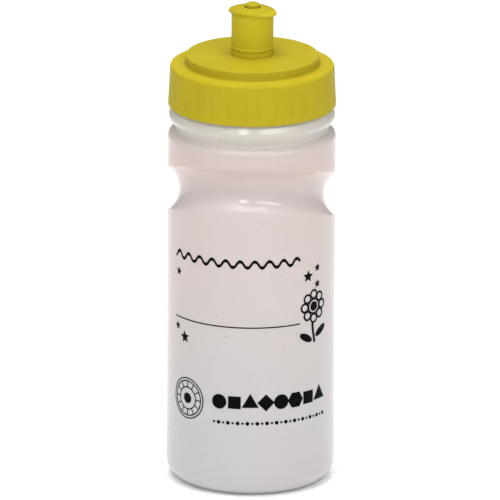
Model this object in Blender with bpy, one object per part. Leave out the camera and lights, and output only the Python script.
"""Sports bottle with a fluted screw cap and a push-pull mouthpiece.

Metres, +Z up. The origin is the centre of the base, on the surface that the bottle stands on.
The front faces -Y. Every piece is a body turned about Z: its cross-section is walked once round
as a list of rings, and a ring may change its radius and height with the angle, which is how the
slanted grip, the screw threads and the flutes are made.
"""

import math

import bpy
from mathutils import Matrix, Vector

MM = 0.001
FULL_TURN = 2 * math.pi

# Bottle: driving dimensions, in millimetres.
BODY_RADIUS = 34.0
WALL = 1.0
BASE_CORNER = 8.1
STAND_INNER = 21.5
PUNT_RISE = 3.2
BOTTLE_SIDES = 48

# Grip: a round groove whose plane leans, so that it is highest at the front.
GRIP_HEIGHT = 119.85
GRIP_LEAN = 10.3
GRIP_HIGH_SIDE = math.radians(264)
GRIP_RADIUS = 10.8
GRIP_DEPTH = 4.7
GRIP_EDGE = 1.4

# Neck, from the shoulder to the lip.
SHOULDER_HEIGHT = 143.5
SHOULDER_ROUND = 2.65
NECK_WAIST = 30.8
WAIST_HEIGHT = 147.45
BEAD_HEIGHT = 152.45
BEAD_ROUND = 2.5
NECK_RADIUS = 30.6
NECK_FOOT = 156.6
NECK_BORE = 29.3
LIP_HEIGHT = 169.3

# Thread: one start, right-handed, 1.25 turns on the neck and 1.25 turns in the cap.
LEAD = 5.0
THREAD_DEPTH = 0.95
THREAD_WIDTH = 2.4
THREAD_TURNS = 1.25
THREAD_FADE = 0.08
NECK_THREAD_START = 159.6
CAP_THREAD_DROP = 1.4
CAP_THREAD_START = NECK_THREAD_START + LEAD / 2 - CAP_THREAD_DROP
CAP_THREAD_ANGLE = -FULL_TURN * CAP_THREAD_DROP / LEAD
THREAD_ROW = 0.85

# Cap.
SKIRT_FOOT = 156.7
SKIRT_RADIUS = 33.95
SKIRT_TOP_RADIUS = 33.2
SKIRT_BORE = 31.9
CAP_SHOULDER = 173.3
CAP_CEILING = 170.9
CAP_WALL = 1.5
STEP_RADIUS = 27.1
DISC_HEIGHT = 177.45
FLUTES = 30
FLUTE_FOOT_DEPTH = 0.7
FLUTE_TOP_DEPTH = 0.15
FLUTE_FOOT = 158.4
FLUTE_TOP = 172.3
PLUG_RADIUS = 28.85
PLUG_INNER = 27.5
PLUG_FOOT = 167.2
CAP_SIDES = 2 * FLUTES

# Spout post, with the pin that closes the mouthpiece's outlet.
POST_SIDES = 30
POST_RADIUS = 6.6
POST_BORE = 5.2
POST_TOP = 193.5
COLLAR_RADIUS = 8.5
COLLAR_TOP = 180.0
CATCH_RADIUS = 7.1
CATCH_FOOT = 189.0
PIN_RADIUS = 1.5
PIN_FOOT = 184.0
PIN_HEAD = 2.8
PIN_HEAD_FOOT = 195.2
PIN_TOP = 199.0
WEBS = 3
WEB_THICKNESS = 1.2
WEB_TOP = 190.0

# Mouthpiece, pushed down: it closes the outlet on the pin and slides up to open it.
GAP = 0.3
MOUTH_SIDES = 40
MOUTH_RADIUS = 8.48
MOUTH_FOOT_RADIUS = 8.67
MOUTH_FOOT = COLLAR_TOP + GAP
MOUTH_BORE = 7.45
MOUTH_LIP_BORE = 6.95
FLANGE_RADIUS = 9.75
FLANGE_OVAL = 0.85
FLANGE_HEIGHT = 195.6
FLANGE_THICKNESS = 1.3
FLANGE_DROOP = 0.5
FLANGE_TILT = 0.65
OUTLET_RADIUS = 3.1
OUTLET_HEIGHT = 197.35

# Seal ring between the lip and the cap.
SEAL_INNER = 29.2
SEAL_OUTER = 31.4
SEAL_FOOT = LIP_HEIGHT + GAP
SEAL_TOP = SEAL_FOOT + 1.0


def material(name, colour, roughness, metallic=0.0):
    """A plain plastic or rubber, from its linear colour."""
    made = bpy.data.materials.new(name)
    made.use_nodes = True
    shader = made.node_tree.nodes["Principled BSDF"]
    shader.inputs["Base Color"].default_value = (*colour, 1.0)
    shader.inputs["Roughness"].default_value = roughness
    shader.inputs["Metallic"].default_value = metallic
    made.diffuse_color = (*colour, 1.0)
    return made


def ring(sides, radius, height):
    """A level ring of the cross-section."""
    return sides, lambda angle: (radius, height)


def arc(sides, centre, radius, start, end, steps):
    """Rings along an arc of the cross-section, angles in degrees from +r towards +z."""
    rings = []
    for step in range(steps + 1):
        turn = math.radians(start + (end - start) * step / steps)
        rings.append(ring(sides, centre[0] + radius * math.cos(turn), centre[1] + radius * math.sin(turn)))
    return rings


def ring_points(sides, shape):
    """The points of one ring, or the one point where it meets the axis."""
    if shape(0.0)[0] == 0:
        return [Vector((0.0, 0.0, shape(0.0)[1])) * MM]
    points = []
    for side in range(sides):
        angle = FULL_TURN * side / sides
        radius, height = shape(angle)
        points.append(Vector((radius * math.cos(angle), radius * math.sin(angle), height)) * MM)
    return points


def band(lower, upper):
    """Faces between two rings, given as lists of point numbers; their counts may differ."""
    faces = []
    low, high = len(lower), len(upper)
    if low == high:
        for side in range(low):
            after = (side + 1) % low
            faces.append((lower[side], lower[after], upper[after], upper[side]))
        return faces
    if low < high:
        return [tuple(reversed(face)) for face in band(upper, lower)]
    share = low // high
    for side in range(low):
        tip = upper[(side // share) % high]
        faces.append((lower[side], lower[(side + 1) % low], tip))
        if (side + 1) % share == 0 and high > 1:
            faces.append((lower[(side + 1) % low], upper[(side // share + 1) % high], tip))
    return faces


def turned(name, rings, surface, closed=True):
    """An object from rings that walk round its cross-section, inside to outside below."""
    points = []
    numbers = []
    for sides, shape in rings:
        made = ring_points(sides, shape)
        numbers.append(range(len(points), len(points) + len(made)))
        points.extend(made)
    pairs = list(zip(numbers, numbers[1:]))
    if closed:
        pairs.append((numbers[-1], numbers[0]))
    faces = [face for lower, upper in pairs for face in band(lower, upper)]
    mesh = bpy.data.meshes.new(name)
    mesh.from_pydata(points, [], faces)
    mesh.materials.append(surface)
    mesh.shade_smooth()
    mesh.set_sharp_from_angle(angle=math.radians(35))
    made = bpy.data.objects.new(name, mesh)
    bpy.context.scene.collection.objects.link(made)
    return made


def place_origin(piece, height):
    """Moves the object's origin along Z to a height in millimetres, leaving its shape in place."""
    piece.data.transform(Matrix.Translation((0.0, 0.0, -height * MM)))
    piece.location.z = height * MM


def thread_height(angle, height, start, start_angle):
    """How far a helical thread stands out of its wall at one place."""
    turn = ((angle - start_angle) % FULL_TURN) / FULL_TURN
    winding = round((height - start) / LEAD - turn)
    along = turn + winding
    if not 0 <= along <= THREAD_TURNS:
        return 0.0
    offset = height - start - LEAD * along
    if abs(offset) >= THREAD_WIDTH / 2:
        return 0.0
    fade = min(1.0, along / THREAD_FADE, (THREAD_TURNS - along) / THREAD_FADE)
    return THREAD_DEPTH * fade * math.cos(math.pi * offset / THREAD_WIDTH) ** 2


def thread_rings(sides, wall, outward, bottom, top, start, start_angle):
    """Level rings of a threaded wall, from bottom to top. outward is 1 on a neck, -1 in a cap."""
    steps = round((top - bottom) / THREAD_ROW)
    rings = []
    for step in range(steps + 1):
        height = bottom + (top - bottom) * step / steps

        def shape(angle, height=height):
            stand = thread_height(angle, height, start, start_angle)
            return wall + outward * stand, height

        rings.append((sides, shape))
    return rings


def grip_outline(inset):
    """Half of the groove's section, from its edge to its middle, as (radius, offset in height)."""
    wall = BODY_RADIUS - inset
    hollow = GRIP_RADIUS + inset
    edge = max(GRIP_EDGE - inset, 0.4)
    hollow_centre = BODY_RADIUS - GRIP_DEPTH + GRIP_RADIUS
    reach = hollow_centre - (wall - edge)
    edge_offset = math.sqrt((hollow + edge) ** 2 - reach**2)
    slope = math.atan2(edge_offset, reach)
    points = []
    for step in range(3):
        turn = slope * step / 2
        points.append((wall - edge + edge * math.cos(turn), edge_offset - edge * math.sin(turn)))
    for step in range(1, 4):
        turn = slope * (1 - step / 3)
        points.append((hollow_centre - hollow * math.cos(turn), hollow * math.sin(turn)))
    return points


def grip_rings(inset):
    """The leaning groove's rings from its lower edge to its upper edge."""
    half = grip_outline(inset)
    section = [(radius, -offset) for radius, offset in half]
    section += [(radius, offset) for radius, offset in reversed(half[:-1])]
    rings = []
    for radius, offset in section:

        def shape(angle, radius=radius, offset=offset):
            lean = GRIP_LEAN * math.cos(angle - GRIP_HIGH_SIDE)
            return radius, GRIP_HEIGHT + lean + offset

        rings.append((BOTTLE_SIDES, shape))
    return rings


def dome(sides, radius, rise, base, steps):
    """Rings of a shallow dome from its crown on the axis down to its rim."""
    rings = [ring(sides, 0.0, base + rise)]
    for step in range(1, steps):
        share = step / steps
        rings.append(ring(sides, radius * share, base + rise * (1 - share**2)))
    return rings


def bottle_outside():
    """From the middle of the base, up the outside, to the lip."""
    sides = BOTTLE_SIDES
    corner = BODY_RADIUS - BASE_CORNER
    rings = dome(sides, STAND_INNER, PUNT_RISE, 0.0, 3)
    rings.append(ring(sides, STAND_INNER, 0.0))
    rings += arc(sides, (corner, BASE_CORNER), BASE_CORNER, -90, 0, 5)
    rings += grip_rings(0.0)
    rings += arc(sides, (BODY_RADIUS - SHOULDER_ROUND, SHOULDER_HEIGHT), SHOULDER_ROUND, 0, 50, 3)
    rings.append(ring(sides, NECK_WAIST, WAIST_HEIGHT))
    rings += arc(sides, (NECK_WAIST + 0.43, BEAD_HEIGHT), BEAD_ROUND, -55, 80, 4)
    rings.append(ring(sides, NECK_RADIUS, NECK_FOOT))
    threaded = NECK_FOOT + 1.0, LIP_HEIGHT - 0.7
    rings += thread_rings(sides, NECK_RADIUS, 1, *threaded, NECK_THREAD_START, 0.0)
    rings.append(ring(sides, NECK_RADIUS - 0.3, LIP_HEIGHT))
    return rings


def bottle_inside():
    """From the lip, down the inside, to the middle of the floor."""
    sides = BOTTLE_SIDES
    corner = BODY_RADIUS - BASE_CORNER
    rings = [ring(sides, NECK_BORE, LIP_HEIGHT), ring(sides, NECK_BORE, SHOULDER_HEIGHT + 2.5)]
    inner_shoulder = (BODY_RADIUS - WALL - 2.2, SHOULDER_HEIGHT - 1.8)
    rings += list(reversed(arc(sides, inner_shoulder, 2.2, 0, 60, 2)))
    rings += list(reversed(grip_rings(WALL)))
    rings += list(reversed(arc(sides, (corner, BASE_CORNER), BASE_CORNER - WALL, -90, 0, 4)))
    rings.append(ring(sides, STAND_INNER, WALL))
    rings += list(reversed(dome(sides, STAND_INNER, PUNT_RISE, WALL, 3)))
    return rings


def make_bottle(surface):
    return turned("bottle_body", bottle_outside() + bottle_inside(), surface, closed=False)


def flute_rings():
    """The fluted outside of the skirt, from the lowest plain ring to the highest."""
    rings = []
    slope = (SKIRT_TOP_RADIUS - SKIRT_RADIUS) / (FLUTE_TOP - FLUTE_FOOT)
    length = FLUTE_TOP - FLUTE_FOOT
    depths = (0.0, 0.0), (0.9, FLUTE_FOOT_DEPTH), (length - 0.7, FLUTE_TOP_DEPTH), (length, 0.0)
    for rise, depth in depths:
        wall = SKIRT_RADIUS + slope * rise

        def shape(angle, wall=wall, rise=rise, depth=depth):
            valley = (1 + math.cos(FLUTES * angle)) / 2
            return wall - depth * valley, FLUTE_FOOT + rise

        rings.append((CAP_SIDES, shape))
    return rings


def cap_outside():
    """From the foot of the skirt, over the shoulder and the disc, to the foot of the post."""
    sides = CAP_SIDES
    rings = [ring(sides, SKIRT_BORE + 0.4, SKIRT_FOOT), ring(sides, SKIRT_RADIUS - 0.35, SKIRT_FOOT)]
    rings.append(ring(sides, SKIRT_RADIUS, SKIRT_FOOT + 0.6))
    rings += flute_rings()
    rounding = CAP_SHOULDER - FLUTE_TOP
    rings += arc(sides, (SKIRT_TOP_RADIUS - rounding, FLUTE_TOP), rounding, 30, 90, 2)
    rings += list(reversed(arc(sides, (STEP_RADIUS + 0.8, CAP_SHOULDER + 0.8), 0.8, 180, 270, 2)))
    rings.append(ring(sides, STEP_RADIUS, DISC_HEIGHT - 0.6))
    rings.append(ring(sides, STEP_RADIUS - 0.5, DISC_HEIGHT))
    return rings


def post_rings():
    """The spout post, up its outside and down its bore to the underside of the disc."""
    outline = (
        (COLLAR_RADIUS + 0.4, DISC_HEIGHT),
        (COLLAR_RADIUS, DISC_HEIGHT + 0.4),
        (COLLAR_RADIUS, COLLAR_TOP - 0.3),
        (COLLAR_RADIUS - 0.3, COLLAR_TOP),
        (POST_RADIUS, COLLAR_TOP),
        (POST_RADIUS, CATCH_FOOT),
        (CATCH_RADIUS, CATCH_FOOT + 0.5),
        (CATCH_RADIUS, CATCH_FOOT + 2.5),
        (POST_RADIUS - 0.3, POST_TOP),
        (POST_BORE, POST_TOP),
        (POST_BORE, DISC_HEIGHT - CAP_WALL),
    )
    return [ring(POST_SIDES, radius, height) for radius, height in outline]


def cap_underside():
    """From the post's bore, out under the disc, round the plug ring and down the threaded skirt."""
    sides = CAP_SIDES
    outline = (
        (STEP_RADIUS - CAP_WALL, DISC_HEIGHT - CAP_WALL),
        (STEP_RADIUS - CAP_WALL, CAP_CEILING),
        (PLUG_INNER, CAP_CEILING),
        (PLUG_INNER, PLUG_FOOT + 0.3),
        (PLUG_INNER + 0.4, PLUG_FOOT),
        (PLUG_RADIUS - 0.5, PLUG_FOOT),
        (PLUG_RADIUS, PLUG_FOOT + 0.8),
        (PLUG_RADIUS, CAP_CEILING),
        (SKIRT_BORE, CAP_CEILING),
    )
    rings = [ring(sides, radius, height) for radius, height in outline]
    limits = SKIRT_FOOT + 0.9, CAP_CEILING - 1.3
    threaded = thread_rings(sides, SKIRT_BORE, -1, *limits, CAP_THREAD_START, CAP_THREAD_ANGLE)
    return rings + list(reversed(threaded))


def join(piece, other):
    """Unites another closed body with the piece, and leaves the other out of the object."""
    union = piece.modifiers.new("join_" + other.name, "BOOLEAN")
    union.operation = "UNION"
    union.solver = "EXACT"
    union.object = other
    other.hide_render = True
    other.display_type = "WIRE"


def make_pin(surface):
    """The rod and its head, which stands in the mouthpiece's outlet when the spout is shut."""
    sides = 24
    outline = (
        (0.0, PIN_FOOT),
        (PIN_RADIUS - 0.4, PIN_FOOT),
        (PIN_RADIUS, PIN_FOOT + 0.4),
        (PIN_RADIUS, PIN_HEAD_FOOT - 1.2),
        (PIN_HEAD, PIN_HEAD_FOOT + 0.4),
        (PIN_HEAD, PIN_TOP - 1.6),
        (PIN_HEAD - 0.5, PIN_TOP - 0.6),
        (PIN_HEAD - 1.6, PIN_TOP),
        (0.0, PIN_TOP),
    )
    return turned("pin", [ring(sides, radius, height) for radius, height in outline], surface, closed=False)


def make_web(number, surface):
    """A flat web from the pin to the wall of the post's bore."""
    inner = PIN_RADIUS - 0.8
    outer = (POST_BORE + POST_RADIUS) / 2
    half = WEB_THICKNESS / 2
    foot = PIN_FOOT + 0.8
    corners = [(x, y, z) for x in (inner, outer) for y in (-half, half) for z in (foot, WEB_TOP)]
    faces = [(0, 1, 3, 2), (4, 6, 7, 5), (0, 4, 5, 1), (2, 3, 7, 6), (0, 2, 6, 4), (1, 5, 7, 3)]
    mesh = bpy.data.meshes.new("web")
    turn = Matrix.Rotation(FULL_TURN * number / WEBS + math.pi / 2, 4, "Z")
    mesh.from_pydata([turn @ (Vector(corner) * MM) for corner in corners], [], faces)
    mesh.materials.append(surface)
    web = bpy.data.objects.new(f"web_{number + 1}", mesh)
    bpy.context.scene.collection.objects.link(web)
    return web


def make_cap(surface):
    cap = turned("screw_cap", cap_outside() + post_rings() + cap_underside(), surface)
    join(cap, make_pin(surface))
    for number in range(WEBS):
        join(cap, make_web(number, surface))
    return cap


def flange_ring(radius, height):
    """A ring of the oval flange, which droops to both sides and leans to the right."""

    def shape(angle):
        share = (radius - OUTLET_RADIUS) / (FLANGE_RADIUS - OUTLET_RADIUS)
        overhang = max(radius - MOUTH_RADIUS, 0.0)
        side = math.cos(angle)
        drop = share**2 * (FLANGE_DROOP * side**4 + FLANGE_TILT * side)
        return radius - FLANGE_OVAL * overhang * (1 - side**2), height - drop

    return MOUTH_SIDES, shape


def make_mouthpiece(surface):
    sides = MOUTH_SIDES
    wall_top = FLANGE_HEIGHT - FLANGE_THICKNESS / 2
    rings = [
        ring(sides, MOUTH_LIP_BORE, MOUTH_FOOT),
        ring(sides, MOUTH_FOOT_RADIUS - 0.3, MOUTH_FOOT),
        ring(sides, MOUTH_FOOT_RADIUS, MOUTH_FOOT + 0.4),
        ring(sides, MOUTH_FOOT_RADIUS, MOUTH_FOOT + 1.4),
        ring(sides, MOUTH_RADIUS, MOUTH_FOOT + 2.2),
        ring(sides, MOUTH_RADIUS, wall_top - 1.2),
        flange_ring(MOUTH_RADIUS + 0.5, wall_top - 0.2),
        flange_ring(FLANGE_RADIUS - 0.3, wall_top + 0.15),
        flange_ring(FLANGE_RADIUS, FLANGE_HEIGHT),
        flange_ring(FLANGE_RADIUS - 0.5, FLANGE_HEIGHT + 0.55),
        flange_ring(6.5, FLANGE_HEIGHT + 1.25),
        ring(sides, OUTLET_RADIUS + 0.3, OUTLET_HEIGHT),
        ring(sides, OUTLET_RADIUS, OUTLET_HEIGHT - 0.3),
        ring(sides, OUTLET_RADIUS, OUTLET_HEIGHT - 1.9),
        ring(sides, MOUTH_BORE - 0.6, FLANGE_HEIGHT - 0.8),
        ring(sides, MOUTH_BORE, FLANGE_HEIGHT - 1.4),
        ring(sides, MOUTH_BORE, MOUTH_FOOT + 2.6),
        ring(sides, MOUTH_LIP_BORE, MOUTH_FOOT + 2.1),
    ]
    piece = turned("push_pull_mouthpiece", rings, surface)
    place_origin(piece, MOUTH_FOOT)
    return piece


def make_seal(surface):
    chamfer = 0.15
    outline = (
        (SEAL_INNER, SEAL_FOOT + chamfer),
        (SEAL_INNER + chamfer, SEAL_FOOT),
        (SEAL_OUTER - chamfer, SEAL_FOOT),
        (SEAL_OUTER, SEAL_FOOT + chamfer),
        (SEAL_OUTER, SEAL_TOP),
        (SEAL_INNER, SEAL_TOP),
    )
    rings = [ring(BOTTLE_SIDES, radius, height) for radius, height in outline]
    piece = turned("cap_seal_ring", rings, surface)
    place_origin(piece, SEAL_FOOT)
    return piece


def clear_scene():
    for thing in list(bpy.data.objects):
        bpy.data.objects.remove(thing, do_unlink=True)


def main():
    clear_scene()
    frosted = material("frosted_polyethylene", (0.68, 0.65, 0.63), 0.45)
    yellow = material("yellow_polypropylene", (0.55, 0.45, 0.02), 0.35)
    rubber = material("white_silicone", (0.78, 0.78, 0.76), 0.6)
    make_bottle(frosted)
    make_cap(yellow)
    make_mouthpiece(yellow)
    make_seal(rubber)


main()
